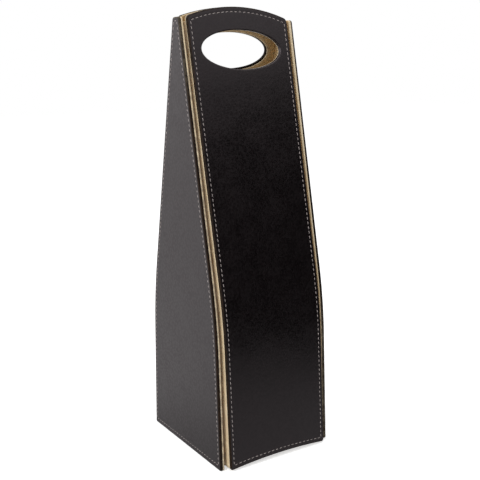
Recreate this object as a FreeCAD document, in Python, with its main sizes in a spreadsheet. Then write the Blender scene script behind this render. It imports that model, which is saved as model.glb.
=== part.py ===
import FreeCAD
import Part
import Sketcher
import math
import os

# A carrier for one bottle: two flat side panels stand on either side of a bent back panel
# and a bent front door. Every panel is a stiff board with leather turned over its outer
# face and suede lining turned over its inner face. The door swings down on a suede strip
# that joins its inner face to the base.
# X runs across the carrier, the door faces -Y and Z is up from the floor, in millimetres.

dimensions = {
    # Outer size
    "carrier_width": 115.8,
    "shoulder_height": 382.2,
    "crown_rise": 9.0,
    # Outer face of the door and of the back: distance from the middle plane and the bend
    "foot_depth": 66.9,
    "bend_depth": 59.4,
    "bend_height": 133.0,
    "bend_radius": 410.0,
    # How far the side panels' edges lie behind those faces
    "foot_reveal": 5.8,
    "bend_reveal": 3.9,
    "shoulder_reveal": 1.7,
    # Walls: thickness, the depth of the leather at an edge, and each cover's own thickness
    "panel_thickness": 4.2,
    "side_thickness": 4.2,
    "wrap_depth": 2.3,
    "skin": 0.9,
    # Gaps: beside the door, at its crown, round it, round what swings, under the sides and at glue
    "edge_gap": 3.1,
    "crown_clearance": 0.46,
    "door_clearance": 0.3,
    "swing_clearance": 0.5,
    "floor_clearance": 0.3,
    "glue_line": 0.1,
    # Arched feet of the door and the back, and the rounded corners of the panels
    "foot_lift": 2.3,
    "foot_arch": 2.5,
    "foot_corner": 3.6,
    "shoulder_corner": 4.2,
    "side_corner": 2.8,
    # Oval hand hole: its middle below the shoulders, the rim beside it and its height
    "grip_drop": 26.9,
    "grip_margin": 10.7,
    "grip_opening": 32.9,
    # Rails behind the door's edges and battens in the back corners
    "rail_width": 6.0,
    "rail_depth": 8.0,
    "rail_lift": 1.0,
    "batten_width": 6.0,
    "batten_depth": 6.0,
    "batten_drop": 4.0,
    # Base and the suede hinge
    "base_cover_thickness": 1.2,
    "base_board_thickness": 5.8,
    "floor_pad_thickness": 1.0,
    "hinge_leaf": 12.0,
    # Magnets that hold the door shut
    "magnet_diameter": 10.0,
    "magnet_thickness": 1.5,
    "magnet_spacing": 32.0,
    "magnet_fit": 0.05,
}


class Size:
    """A length that knows its number and the sheet formula it comes from."""

    def __init__(self, value, text):
        self.value = value
        self.text = text

    def joined(self, sign, other, value):
        other_text = other.text if isinstance(other, Size) else str(other)
        return Size(value, f"({self.text} {sign} {other_text})")

    def __add__(self, other):
        return self.joined("+", other, self.value + number(other))

    def __sub__(self, other):
        return self.joined("-", other, self.value - number(other))

    def __mul__(self, other):
        return self.joined("*", other, self.value * number(other))

    def __truediv__(self, other):
        return self.joined("/", other, self.value / number(other))

    def __neg__(self):
        return Size(-self.value, f"(0 - {self.text})")


def number(size):
    return size.value if isinstance(size, Size) else size


def root(size):
    return Size(math.sqrt(size.value), f"sqrt({size.text})")


doc = FreeCAD.newDocument("BottleCarrier")
sheet = doc.addObject("Spreadsheet::Sheet", "Sizes")
for row, (alias, length) in enumerate(dimensions.items(), start=1):
    sheet.set(f"A{row}", alias)
    sheet.set(f"B{row}", str(length))
    sheet.setAlias(f"B{row}", alias)
doc.recompute()

driving = {alias: Size(float(getattr(sheet, alias)), f"Sizes.{alias}") for alias in dimensions}
none = Size(0.0, "0")
door_side = -1
back_side = 1

# Sizes that follow from the driving ones
crown_height = driving["shoulder_height"] + driving["crown_rise"]
crown_depth = driving["panel_thickness"] + driving["crown_clearance"]
inner_width = driving["carrier_width"] - driving["side_thickness"] * 2
panel_width = inner_width - driving["edge_gap"] * 2
lower_slope = (driving["foot_depth"] - driving["bend_depth"]) / driving["bend_height"]
lower_stretch = root(lower_slope * lower_slope + 1)
upper_slope = (driving["bend_depth"] - crown_depth) / (crown_height - driving["bend_height"])
upper_stretch = root(upper_slope * upper_slope + 1)
shoulder_depth = crown_depth + upper_slope * driving["crown_rise"]
grip_height = driving["shoulder_height"] - driving["grip_drop"]
core_far = driving["panel_thickness"] - driving["skin"]
glued_face = driving["panel_thickness"] + driving["glue_line"]

# The door turns about a line on its inner face, just under the suede strip that lies on the base
strip_height = driving["base_cover_thickness"] + driving["base_board_thickness"]
base_top = strip_height + driving["floor_pad_thickness"]
hinge_height = strip_height - driving["door_clearance"]
inner_foot = driving["foot_depth"] - driving["panel_thickness"] * lower_stretch
hinge_depth = inner_foot - hinge_height * lower_slope
strip_front = inner_foot - base_top * lower_slope - driving["door_clearance"]
hinge_half = panel_width / 2 - driving["rail_width"] - driving["swing_clearance"]
rail_foot = driving["foot_lift"] + driving["rail_lift"]
rail_back = driving["glue_line"] + driving["rail_depth"]
rail_drop = hinge_height - rail_foot
rail_swing = root(rail_back * rail_back + rail_drop * rail_drop)
base_front = hinge_depth - rail_swing - driving["swing_clearance"]
base_rear = inner_foot - base_top * lower_slope - driving["glue_line"]

panel_profile = [driving["foot_depth"], driving["bend_depth"], crown_depth]
panel_heights = [none, driving["bend_height"], crown_height]
side_profile = [
    driving["foot_depth"] - driving["foot_reveal"],
    driving["bend_depth"] - driving["bend_reveal"],
    shoulder_depth - driving["shoulder_reveal"],
]
side_heights = [none, driving["bend_height"], driving["shoulder_height"]]


def bind(item, place, size):
    item.setExpression(place, size.text)


def new_sketch(body, role, name):
    plane = [item for item in body.Origin.OriginFeatures if item.Role == role][0]
    sketch = body.newObject("Sketcher::SketchObject", name)
    sketch.AttachmentSupport = [(plane, "")]
    sketch.MapMode = "FlatFace"
    return sketch


def dimension(sketch, name, size, kind, *ends):
    index = sketch.addConstraint(Sketcher.Constraint(kind, *ends, size.value))
    sketch.renameConstraint(index, name)
    bind(sketch, f"Constraints.{name}", size)


def end_at(sketch, piece, point):
    near_start = (sketch.getPoint(piece, 1) - point).Length
    near_end = (sketch.getPoint(piece, 2) - point).Length
    return 1 if near_start < near_end else 2


def add_loop(sketch, loop):
    """Adds a closed loop of (points, smooth) pieces: two points make a line, three an arc."""
    pieces = []
    for points, _ in loop:
        make = Part.LineSegment if len(points) == 2 else Part.Arc
        pieces.append(sketch.addGeometry(make(*points), False))
    for index, (points, smooth) in enumerate(loop):
        joint = points[-1]
        first = pieces[index]
        second = pieces[(index + 1) % len(pieces)]
        kind = "Tangent" if smooth else "Coincident"
        ends = (first, end_at(sketch, first, joint), second, end_at(sketch, second, joint))
        sketch.addConstraint(Sketcher.Constraint(kind, *ends))
    return pieces


def place_point(sketch, name, piece, end, depth, height, side):
    """Fixes a point at a distance from the upright axis and at a height."""
    origin = (-1, 1)
    ends = (piece, end, *origin) if side == door_side else (*origin, piece, end)
    dimension(sketch, f"{name}_depth", depth, "DistanceX", *ends)
    if height.value == 0:
        sketch.addConstraint(Sketcher.Constraint("PointOnObject", piece, end, -1))
    else:
        dimension(sketch, f"{name}_height", height, "DistanceY", *origin, piece, end)


class BentEdge:
    """A bent face seen from the side: a lower line, an arc and an upper line, set in by an offset."""

    def __init__(self, profile, heights, side):
        self.side = side
        self.profile = profile
        self.heights = heights
        foot, bend, top = [
            FreeCAD.Vector(side * depth.value, height.value, 0)
            for depth, height in zip(profile, heights)
        ]
        self.corners = [foot, bend, top]
        self.lower = (bend - foot).normalize()
        self.upper = (top - bend).normalize()
        self.lower_in = self.inward(self.lower)
        self.upper_in = self.inward(self.upper)

    def inward(self, along):
        return FreeCAD.Vector(-self.side * along.y, self.side * along.x, 0)

    def corner(self, offset):
        shared = self.lower_in + self.upper_in
        return self.corners[1] + shared * (offset / (1 + self.lower_in.dot(self.upper_in)))

    def on_lower(self, offset, height):
        start = self.corner(offset)
        return start + self.lower * ((height - start.y) / self.lower.y)

    def on_upper(self, offset, height):
        start = self.corner(offset)
        return start + self.upper * ((height - start.y) / self.upper.y)

    def arc(self, offset):
        """The bend's first, middle and last point."""
        radius = driving["bend_radius"].value - offset
        reach = radius * math.tan(self.lower.getAngle(self.upper) / 2)
        corner = self.corner(offset)
        first = corner - self.lower * reach
        last = corner + self.upper * reach
        centre = first + self.lower_in * radius
        middle = centre + (corner - centre).normalize() * radius
        return first, middle, last

    def add_guides(self, sketch):
        """Two construction lines through the face's foot, bend and top."""
        foot, bend, top = self.corners
        lower = sketch.addGeometry(Part.LineSegment(foot, bend), True)
        upper = sketch.addGeometry(Part.LineSegment(bend, top), True)
        sketch.addConstraint(Sketcher.Constraint("Coincident", lower, 2, upper, 1))
        places = [(lower, 1), (lower, 2), (upper, 2)]
        names = ["foot", "bend", "top"]
        for name, place, depth, height in zip(names, places, self.profile, self.heights):
            place_point(sketch, name, *place, depth, height, self.side)
        return lower, upper


def follow(sketch, name, line, guide, offset):
    """Keeps a line parallel to its guide, at the offset."""
    sketch.addConstraint(Sketcher.Constraint("Parallel", line, guide))
    if offset.value == 0:
        sketch.addConstraint(Sketcher.Constraint("PointOnObject", line, 1, guide))
    else:
        dimension(sketch, name, offset, "Distance", line, 1, guide)


def level(sketch, name, line, height):
    """Keeps a line level at a height."""
    sketch.addConstraint(Sketcher.Constraint("Horizontal", line))
    if height.value == 0:
        sketch.addConstraint(Sketcher.Constraint("PointOnObject", line, 1, -1))
    else:
        dimension(sketch, name, height, "DistanceY", -1, 1, line, 1)


def bent_bar(name, side, near, far, low, high, left, length):
    """A bar of a bent panel's section, from one depth below its face to another."""
    edge = BentEdge(panel_profile, panel_heights, side)
    body = doc.addObject("PartDesign::Body", name)
    sketch = new_sketch(body, "YZ_Plane", f"{name}_section")
    bind(sketch, "AttachmentOffset.Base.z", left)
    lower_guide, upper_guide = edge.add_guides(sketch)
    outer_arc = edge.arc(near.value)
    inner_arc = edge.arc(far.value)[::-1]
    outer_foot = edge.on_lower(near.value, low.value)
    outer_top = edge.on_upper(near.value, high.value)
    inner_foot = edge.on_lower(far.value, low.value)
    inner_top = edge.on_upper(far.value, high.value)
    loop = [
        ((outer_foot, outer_arc[0]), True),
        (outer_arc, True),
        ((outer_arc[2], outer_top), False),
        ((outer_top, inner_top), False),
        ((inner_top, inner_arc[0]), True),
        (inner_arc, True),
        ((inner_arc[2], inner_foot), False),
        ((inner_foot, outer_foot), False),
    ]
    pieces = add_loop(sketch, loop)
    follow(sketch, "outer_lower", pieces[0], lower_guide, near)
    follow(sketch, "outer_upper", pieces[2], upper_guide, near)
    follow(sketch, "inner_upper", pieces[4], upper_guide, far)
    follow(sketch, "inner_lower", pieces[6], lower_guide, far)
    dimension(sketch, "outer_bend", driving["bend_radius"] - near, "Radius", pieces[1])
    dimension(sketch, "inner_bend", driving["bend_radius"] - far, "Radius", pieces[5])
    level(sketch, "high", pieces[3], high)
    level(sketch, "low", pieces[7], low)
    pad = body.newObject("PartDesign::Pad", f"{name}_pad")
    pad.Profile = sketch
    bind(pad, "Length", length)
    return body


def panel_outline(name, inset):
    """The door's and the back's front view with its arches and hand hole, as a block from front to back."""
    body = doc.addObject("PartDesign::Body", name)
    sketch = new_sketch(body, "XZ_Plane", f"{name}_sketch")
    half = panel_width / 2
    crown_full = half * half / (driving["crown_rise"] * 2) + driving["crown_rise"] / 2
    foot_full = half * half / (driving["foot_arch"] * 2) + driving["foot_arch"] / 2
    crown_centre = crown_height - crown_full
    foot_centre = foot_full - driving["foot_arch"] - driving["foot_lift"]
    crown_arch = crown_full - inset
    foot_arch = foot_full + inset
    reach = half - inset
    corner = driving["foot_corner"] - inset
    shoulder = driving["shoulder_corner"] - inset

    right = reach.value
    foot_round = corner.value
    top_round = shoulder.value
    across = FreeCAD.Vector(1, 0, 0)

    def flipped(point):
        return FreeCAD.Vector(-point.x, point.y, 0)

    below = FreeCAD.Vector(0, -foot_centre.value, 0)
    foot_x = right - foot_round
    foot_hub = below + FreeCAD.Vector(foot_x, math.sqrt((foot_arch.value + foot_round) ** 2 - foot_x**2), 0)
    foot_up = (foot_hub - below).normalize()
    foot_end = foot_hub - foot_up * foot_round
    foot_corner = foot_hub + (across - foot_up).normalize() * foot_round
    foot_middle = below + FreeCAD.Vector(0, foot_arch.value, 0)
    side_low = foot_hub + across * foot_round

    centre = FreeCAD.Vector(0, crown_centre.value, 0)
    top_x = right - top_round
    top_hub = centre + FreeCAD.Vector(top_x, math.sqrt((crown_arch.value - top_round) ** 2 - top_x**2), 0)
    top_up = (top_hub - centre).normalize()
    side_high = top_hub + across * top_round
    top_corner = top_hub + (across + top_up).normalize() * top_round
    top_end = top_hub + top_up * top_round
    crown = centre + FreeCAD.Vector(0, crown_arch.value, 0)
    loop = [
        ((flipped(foot_end), foot_middle, foot_end), True),
        ((foot_end, foot_corner, side_low), True),
        ((side_low, side_high), True),
        ((side_high, top_corner, top_end), True),
        ((top_end, crown, flipped(top_end)), True),
        ((flipped(top_end), flipped(top_corner), flipped(side_high)), True),
        ((flipped(side_high), flipped(side_low)), True),
        ((flipped(side_low), flipped(foot_corner), flipped(foot_end)), True),
    ]
    pieces = add_loop(sketch, loop)
    for line in (pieces[2], pieces[6]):
        sketch.addConstraint(Sketcher.Constraint("Vertical", line))
    for arc in (pieces[0], pieces[4]):
        sketch.addConstraint(Sketcher.Constraint("PointOnObject", arc, 3, -2))
    dimension(sketch, "right_edge", reach, "DistanceX", -1, 1, pieces[2], 1)
    dimension(sketch, "left_edge", reach, "DistanceX", pieces[6], 1, -1, 1)
    dimension(sketch, "right_foot", corner, "Radius", pieces[1])
    dimension(sketch, "left_foot", corner, "Radius", pieces[7])
    dimension(sketch, "right_shoulder", shoulder, "Radius", pieces[3])
    dimension(sketch, "left_shoulder", shoulder, "Radius", pieces[5])
    dimension(sketch, "foot_arch", foot_arch, "Radius", pieces[0])
    dimension(sketch, "foot_centre", foot_centre, "DistanceY", pieces[0], 3, -1, 1)
    dimension(sketch, "crown_arch", crown_arch, "Radius", pieces[4])
    dimension(sketch, "crown_centre", crown_centre, "DistanceY", -1, 1, pieces[4], 3)

    grip_half = half - driving["grip_margin"] + inset
    grip_rise = driving["grip_opening"] / 2 + inset
    middle = FreeCAD.Vector(0, grip_height.value, 0)
    along = middle + FreeCAD.Vector(grip_half.value, 0, 0)
    above = middle + FreeCAD.Vector(0, grip_rise.value, 0)
    grip = sketch.addGeometry(Part.Ellipse(along, above, middle), False)
    sketch.exposeInternalGeometry(grip)
    major = grip + 1
    minor = grip + 2
    sketch.addConstraint(Sketcher.Constraint("PointOnObject", grip, 3, -2))
    sketch.addConstraint(Sketcher.Constraint("Horizontal", major))
    dimension(sketch, "grip_height", grip_height, "DistanceY", -1, 1, grip, 3)
    dimension(sketch, "grip_length", grip_half * 2, "Distance", major, 1, major, 2)
    dimension(sketch, "grip_opening", grip_rise * 2, "Distance", minor, 1, minor, 2)

    pad = body.newObject("PartDesign::Pad", f"{name}_pad")
    pad.Profile = sketch
    pad.Midplane = True
    bind(pad, "Length", driving["foot_depth"] * 3)
    return body


def combine(kind, name, base, tool):
    item = doc.addObject(f"Part::{kind}", name)
    item.Base = base
    item.Tool = tool
    return item


def magnet_disc(name, side, across, radius, length):
    """A disc lying in the board's inner face, square to the panel, above the hand hole."""
    disc = doc.addObject("Part::Cylinder", name)
    bind(disc, "Radius", radius)
    bind(disc, "Height", length)
    middle = (crown_height + grip_height + driving["grip_opening"] / 2) / 2
    face = crown_depth + (crown_height - middle) * upper_slope
    bed = core_far - driving["magnet_thickness"]
    depth = face - bed / upper_stretch
    height = middle - bed * upper_slope / upper_stretch
    disc.Placement.Rotation = FreeCAD.Rotation(FreeCAD.Vector(side, 0, 0), 90)
    disc.setExpression("Placement.Rotation.Angle", f"90 deg + atan({upper_slope.text})")
    bind(disc, "Placement.Base.x", across)
    bind(disc, "Placement.Base.y", depth if side == back_side else -depth)
    bind(disc, "Placement.Base.z", height)
    return disc


def bent_panel(name, side, outline, core_outline):
    """The door or the back: leather cover, board, lining and two magnets."""
    start = driving["carrier_width"] / -2
    full = driving["carrier_width"]
    above = crown_height + driving["crown_rise"]
    layers = {
        "outer": (none, driving["wrap_depth"], outline),
        "inner": (driving["wrap_depth"], driving["panel_thickness"], outline),
        "core": (driving["skin"], core_far, core_outline),
    }
    slabs = {}
    for layer, (near, far, shape) in layers.items():
        bar = bent_bar(f"{name}_{layer}_bar", side, near, far, none, above, start, full)
        slabs[layer] = combine("Common", f"{name}_{layer}_slab", bar, shape)
    leather = combine("Cut", f"{name}_leather", slabs["outer"], slabs["core"])
    lining = combine("Cut", f"{name}_lining", slabs["inner"], slabs["core"])

    radius = driving["magnet_diameter"] / 2
    offset = driving["magnet_spacing"] / 2
    discs = []
    bores = []
    for hand, across in (("left", -offset), ("right", offset)):
        disc = magnet_disc(f"{name}_{hand}_magnet", side, across, radius, driving["magnet_thickness"])
        bore_radius = radius + driving["magnet_fit"]
        bore_length = driving["magnet_thickness"] + driving["skin"]
        bores.append(magnet_disc(f"{name}_{hand}_bore", side, across, bore_radius, bore_length))
        discs.append(disc)
    drilled = combine("Cut", f"{name}_drilled_once", slabs["core"], bores[0])
    board = combine("Cut", f"{name}_board", drilled, bores[1])
    magnets = doc.addObject("Part::Compound", f"{name}_magnets")
    magnets.Links = discs
    return [leather, board, lining, magnets]


def side_slab(name, left, thickness, inset):
    """A flat slab with the side panel's outline: half of it drawn, then mirrored."""
    edge = BentEdge(side_profile, side_heights, door_side)
    body = doc.addObject("PartDesign::Body", name)
    sketch = new_sketch(body, "YZ_Plane", f"{name}_sketch")
    bind(sketch, "AttachmentOffset.Base.z", left)
    guides = edge.add_guides(sketch)
    low = driving["floor_clearance"] + inset
    high = driving["shoulder_height"] - inset
    corner = driving["side_corner"] - inset
    offset = inset.value
    bend = edge.arc(offset)
    hub = edge.on_upper(offset + corner.value, high.value - corner.value)
    corner_start = hub - edge.upper_in * corner.value
    corner_end = hub + FreeCAD.Vector(0, corner.value, 0)
    halfway = (FreeCAD.Vector(0, 1, 0) - edge.upper_in).normalize()
    corner_middle = hub + halfway * corner.value
    foot_edge = edge.on_lower(offset, low.value)
    foot_middle = FreeCAD.Vector(0, low.value, 0)
    top_middle = FreeCAD.Vector(0, high.value, 0)
    loop = [
        ((foot_middle, foot_edge), False),
        ((foot_edge, bend[0]), True),
        (bend, True),
        ((bend[2], corner_start), True),
        ((corner_start, corner_middle, corner_end), True),
        ((corner_end, top_middle), False),
        ((top_middle, foot_middle), False),
    ]
    pieces = add_loop(sketch, loop)
    level(sketch, "foot_line", pieces[0], low)
    follow(sketch, "lower_edge", pieces[1], guides[0], inset)
    follow(sketch, "upper_edge", pieces[3], guides[1], inset)
    dimension(sketch, "bend_round", driving["bend_radius"] - inset, "Radius", pieces[2])
    dimension(sketch, "top_corner", corner, "Radius", pieces[4])
    level(sketch, "top_line", pieces[5], high)
    sketch.addConstraint(Sketcher.Constraint("PointOnObject", pieces[6], 1, -2))
    sketch.addConstraint(Sketcher.Constraint("PointOnObject", pieces[6], 2, -2))
    pad = body.newObject("PartDesign::Pad", f"{name}_pad")
    pad.Profile = sketch
    bind(pad, "Length", thickness)
    doc.recompute()
    mirror = body.newObject("PartDesign::Mirrored", f"{name}_mirror")
    mirror.Originals = [pad]
    plane = [item for item in body.Origin.OriginFeatures if item.Role == "XZ_Plane"][0]
    mirror.MirrorPlane = (plane, [""])
    body.Tip = mirror
    return body


def side_panel(name, hand):
    """A side panel: leather cover, board and lining, on the left (-1) or the right (1)."""
    half = driving["carrier_width"] / 2
    wall = driving["side_thickness"]
    wrap = driving["wrap_depth"]
    skin = driving["skin"]

    def slab(layer, near, far, inset):
        left = half - far if hand == 1 else near - half
        return side_slab(f"{name}_{layer}", left, far - near, inset)

    outer = slab("outer_slab", none, wrap, none)
    inner = slab("inner_slab", wrap, wall, none)
    board = slab("board", skin, wall - skin, skin)
    leather = combine("Cut", f"{name}_leather", outer, board)
    lining = combine("Cut", f"{name}_lining", inner, board)
    return [leather, board, lining]


def block(name, low, high):
    """A box between two corners."""
    box = doc.addObject("Part::Box", name)
    for axis, length, start, end in zip("xyz", ("Length", "Width", "Height"), low, high):
        bind(box, f"Placement.Base.{axis}", start)
        bind(box, length, end - start)
    return box


def base():
    """The cover under the base, its board, the hinge strip at its front and the floor pad behind that."""
    half = inner_width / 2
    cover_top = driving["base_cover_thickness"]
    strip_rear = base_front - driving["hinge_leaf"]
    pad_front = strip_rear - driving["glue_line"]
    leather = block("base_leather", (-half, -base_front, none), (half, base_rear, cover_top))
    board = block("base_board", (-half, -base_front, cover_top), (half, base_rear, strip_height))
    strip_low = (-hinge_half, -strip_front, strip_height)
    strip = block("hinge_strip", strip_low, (hinge_half, -strip_rear, base_top))
    pad = block("base_lining", (-half, -pad_front, strip_height), (half, base_rear, base_top))
    return [leather, board, strip, pad]


def corner_bars(name, side, half_space, low, reach, depth, width):
    """Two upright bars behind a bent panel's edges, kept on the panel's side of the middle plane."""
    far = glued_face + depth
    top = driving["shoulder_height"] - driving["batten_drop"]
    bars = []
    for hand, left in (("left", -reach), ("right", reach - width)):
        label = name.format(hand)
        bar = bent_bar(f"{label}_bar", side, glued_face, far, low, top, left, width)
        bars.append(combine("Common", label, bar, half_space))
    return bars


def door_fittings(half_space):
    """The rails behind the door's edges and its leaf of the suede hinge."""
    reach = panel_width / 2
    section = (driving["rail_depth"], driving["rail_width"])
    rails = corner_bars("door_{}_rail", door_side, half_space, rail_foot, reach, *section)
    left = -hinge_half
    low = base_top + driving["door_clearance"]
    high = low + driving["hinge_leaf"]
    far = glued_face + driving["floor_pad_thickness"]
    layer = bent_bar("door_leaf_bar", door_side, glued_face, far, low, crown_height, left, hinge_half * 2)
    window = block("door_leaf_window", (left, -driving["foot_depth"], low), (hinge_half, none, high))
    return rails + [combine("Common", "door_hinge_leaf", layer, window)]


def back_fittings(half_space):
    """The battens that join the back to the side panels."""
    reach = inner_width / 2
    section = (driving["batten_depth"], driving["batten_width"])
    return corner_bars("back_{}_batten", back_side, half_space, base_top, reach, *section)


width = driving["carrier_width"] / 2
depth = driving["foot_depth"]
middle = driving["door_clearance"] / 2
front_half = block("front_half", (-width, -depth, none), (width, -middle, crown_height))
back_half = block("back_half", (-width, middle, none), (width, depth, crown_height))
outline = panel_outline("panel_outline", none)
core_outline = panel_outline("panel_core_outline", driving["skin"])

subparts = bent_panel("door", door_side, outline, core_outline)
subparts += door_fittings(front_half)
subparts += bent_panel("back", back_side, outline, core_outline)
subparts += back_fittings(back_half)
subparts += side_panel("left", -1)
subparts += side_panel("right", 1)
subparts += base()
doc.recompute()

for item in doc.Objects:
    if "Invalid" in item.State or "Error" in item.State:
        raise RuntimeError(f"{item.Name} failed: {item.State}")
for item in subparts:
    if item.Shape.isNull() or not item.Shape.isValid():
        raise RuntimeError(f"{item.Label} has no valid shape")

os.makedirs("parts", exist_ok=True)
for item in subparts:
    item.Label = item.Name
    item.Shape.exportStep(f"parts/{item.Label}.step")
    print(item.Label, "solids", len(item.Shape.Solids), "volume", round(item.Shape.Volume, 1))
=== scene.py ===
import math
from functools import partial
import bmesh
import bpy
from mathutils import Matrix, Vector
from mathutils.geometry import delaunay_2d_cdt


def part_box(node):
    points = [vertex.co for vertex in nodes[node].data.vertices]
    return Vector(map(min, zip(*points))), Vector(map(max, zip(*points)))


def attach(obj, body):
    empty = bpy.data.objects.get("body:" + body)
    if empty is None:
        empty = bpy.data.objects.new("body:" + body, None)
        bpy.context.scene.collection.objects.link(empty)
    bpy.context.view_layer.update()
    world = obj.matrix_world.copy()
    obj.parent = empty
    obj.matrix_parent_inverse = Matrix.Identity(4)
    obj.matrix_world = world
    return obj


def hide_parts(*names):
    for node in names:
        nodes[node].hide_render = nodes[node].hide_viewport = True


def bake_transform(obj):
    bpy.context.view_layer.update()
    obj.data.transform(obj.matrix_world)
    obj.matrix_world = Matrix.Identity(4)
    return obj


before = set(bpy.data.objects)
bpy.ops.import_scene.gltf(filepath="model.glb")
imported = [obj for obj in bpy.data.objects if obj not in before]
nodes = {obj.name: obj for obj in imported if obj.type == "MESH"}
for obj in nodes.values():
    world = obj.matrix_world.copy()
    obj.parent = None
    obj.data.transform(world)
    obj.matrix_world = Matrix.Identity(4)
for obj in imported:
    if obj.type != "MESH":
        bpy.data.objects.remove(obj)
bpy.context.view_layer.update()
millimetre = 0.001
rightAngle = math.pi / 2
door = -1  # which way a bent panel faces along Y
back = 1


# Node helpers

def addNode(tree, kind, inputs=None, **settings):
    node = tree.nodes.new(kind)
    for name, value in settings.items():
        setattr(node, name, value)
    for name, value in (inputs or {}).items():
        socket = node.inputs[name]
        if isinstance(value, bpy.types.NodeSocket):
            tree.links.new(value, socket)
        else:
            socket.default_value = value
    return node


def firstOut(tree, kind, inputs=None, **settings):
    return addNode(tree, kind, inputs, **settings).outputs[0]


def mathNode(tree, operation, first, second=0.0, clamp=False):
    return firstOut(tree, "ShaderNodeMath", {0: first, 1: second}, operation=operation, use_clamp=clamp)


def times(tree, first, second):
    return mathNode(tree, "MULTIPLY", first, second)


def plus(tree, first, second):
    return mathNode(tree, "ADD", first, second)


def rampNode(tree, value, low, high, fromLow=0.0, fromHigh=1.0):
    # smooth step from one level to another
    inputs = {"Value": value, "From Min": fromLow, "From Max": fromHigh, "To Min": low, "To Max": high}
    return firstOut(tree, "ShaderNodeMapRange", inputs, interpolation_type="SMOOTHSTEP")


def noiseNode(tree, place, scale, detail, **more):
    return firstOut(tree, "ShaderNodeTexNoise", {"Vector": place, "Scale": scale, "Detail": detail, **more})


def mixColour(tree, factor, first, second):
    # each colour is a socket or three levels; the node's colour sockets are 6 and 7, and 2 going out
    inputs = {"Factor": factor}
    for socket, value in ((6, first), (7, second)):
        inputs[socket] = (*value, 1.0) if isinstance(value, tuple) else value
    return addNode(tree, "ShaderNodeMix", inputs, data_type="RGBA").outputs[2]


def newGroup(name, values, outputs):
    # takes a place and some values, and puts out heights, shades and masks
    tree = bpy.data.node_groups.new(name, "ShaderNodeTree")
    tree.interface.new_socket("Vector", in_out="INPUT", socket_type="NodeSocketVector")
    for socketName, value in values.items():
        socket = tree.interface.new_socket(socketName, in_out="INPUT", socket_type="NodeSocketFloat")
        socket.default_value = value
    for socketName in outputs:
        tree.interface.new_socket(socketName, in_out="OUTPUT", socket_type="NodeSocketFloat")
    return tree, tree.nodes.new("NodeGroupInput").outputs, tree.nodes.new("NodeGroupOutput").inputs


def placeGroup(tree, group, inputs):
    return addNode(tree, "ShaderNodeGroup", inputs, node_tree=group).outputs


# Shared surface effects

grainForm = {
    "warpScale": 0.6,  # scales as shares of the pebbles' own
    "fineScale": 2.7,
    "warpReach": 0.0007,  # metres
    "smoothness": 0.35,
    "pebbleEdge": (0.15, 0.75),
    "wrinkleStretch": (0.5, 0.5, 1.0),
    "fineShare": 0.15,  # how much each adds to the height
    "pebbleShare": 0.55,
    "foldShare": 1.5,
    "mottleEdge": (0.3, 0.7),
}


def makeGrainGroup(form):
    # rounded pebbles parted by fine creases, level wrinkles, and a mottle over several centimetres
    values = {"Pebbles": 400.0, "Wrinkles": 200.0, "Mottle Scale": 40.0}
    tree, given, result = newGroup("pebbleGrain", values, ["Height", "Crease", "Mottle"])
    place = given["Vector"]
    pebbles = given["Pebbles"]
    drift = {"Vector": place, "Scale": times(tree, pebbles, form["warpScale"]), "Detail": 1.0}
    warp = {0: addNode(tree, "ShaderNodeTexNoise", drift).outputs["Color"], "Scale": form["warpReach"]}
    shift = firstOut(tree, "ShaderNodeVectorMath", warp, operation="SCALE")
    warped = firstOut(tree, "ShaderNodeVectorMath", {0: place, 1: shift}, operation="ADD")
    parted = {"Vector": warped, "Scale": pebbles, "Smoothness": form["smoothness"]}
    cells = firstOut(tree, "ShaderNodeTexVoronoi", parted, feature="SMOOTH_F1")
    pebble = rampNode(tree, cells, 1.0, 0.0, *form["pebbleEdge"])
    fine = noiseNode(tree, place, times(tree, pebbles, form["fineScale"]), 1.0)
    stretch = {0: place, 1: form["wrinkleStretch"]}
    drawn = firstOut(tree, "ShaderNodeVectorMath", stretch, operation="MULTIPLY")
    wrinkle = noiseNode(tree, drawn, given["Wrinkles"], 2.0, Roughness=0.4)
    grain = plus(tree, pebble, times(tree, fine, form["fineShare"]))
    folds = times(tree, wrinkle, form["foldShare"])
    mottle = noiseNode(tree, place, given["Mottle Scale"], 4.0, Roughness=0.6)
    tree.links.new(plus(tree, times(tree, grain, form["pebbleShare"]), folds), result["Height"])
    tree.links.new(mathNode(tree, "SUBTRACT", 1.0, pebble), result["Crease"])
    tree.links.new(rampNode(tree, mottle, 0.0, 1.0, *form["mottleEdge"]), result["Mottle"])
    return tree


def makeWearAndShadingGroup():
    # patches that gather where the rim value is high: rubbed wear on the leather, soil and painted shade on
    # the suede, and a painted highlight on the edge paint
    values = {"Rim": 0.0, "Patches": 300.0, "Amount": 0.5}
    tree, given, result = newGroup("edgeWear", values, ["Mask"])
    noise = noiseNode(tree, given["Vector"], given["Patches"], 5.0, Roughness=0.65)
    broken = rampNode(tree, noise, 0.15, 1.0, 0.35, 0.68)
    rim = times(tree, given["Rim"], broken)
    mask = mathNode(tree, "MULTIPLY", rim, given["Amount"], clamp=True)
    tree.links.new(mask, result["Mask"])
    return tree


napForm = {"tuftScale": 0.24, "patchShade": 0.6, "speckShade": 0.4}


def makeNapGroup(form):
    # brushed nap: short fibres, and patches that lie one way or the other
    values = {"Fibres": 2600.0, "Patches": 55.0}
    tree, given, result = newGroup("suedeNap", values, ["Height", "Shade"])
    place = given["Vector"]
    fibres = noiseNode(tree, place, given["Fibres"], 3.0, Roughness=0.7)
    tuftScale = times(tree, given["Fibres"], form["tuftScale"])
    height = plus(tree, fibres, noiseNode(tree, place, tuftScale, 3.0))
    patches = noiseNode(tree, place, given["Patches"], 4.0, Roughness=0.55, Distortion=0.6)
    flat = rampNode(tree, patches, 0.0, form["patchShade"], 0.32, 0.68)
    speck = times(tree, rampNode(tree, height, 0.0, 1.0, 0.7, 1.3), form["speckShade"])
    tree.links.new(height, result["Height"])
    tree.links.new(plus(tree, flat, speck), result["Shade"])
    return tree


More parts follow.
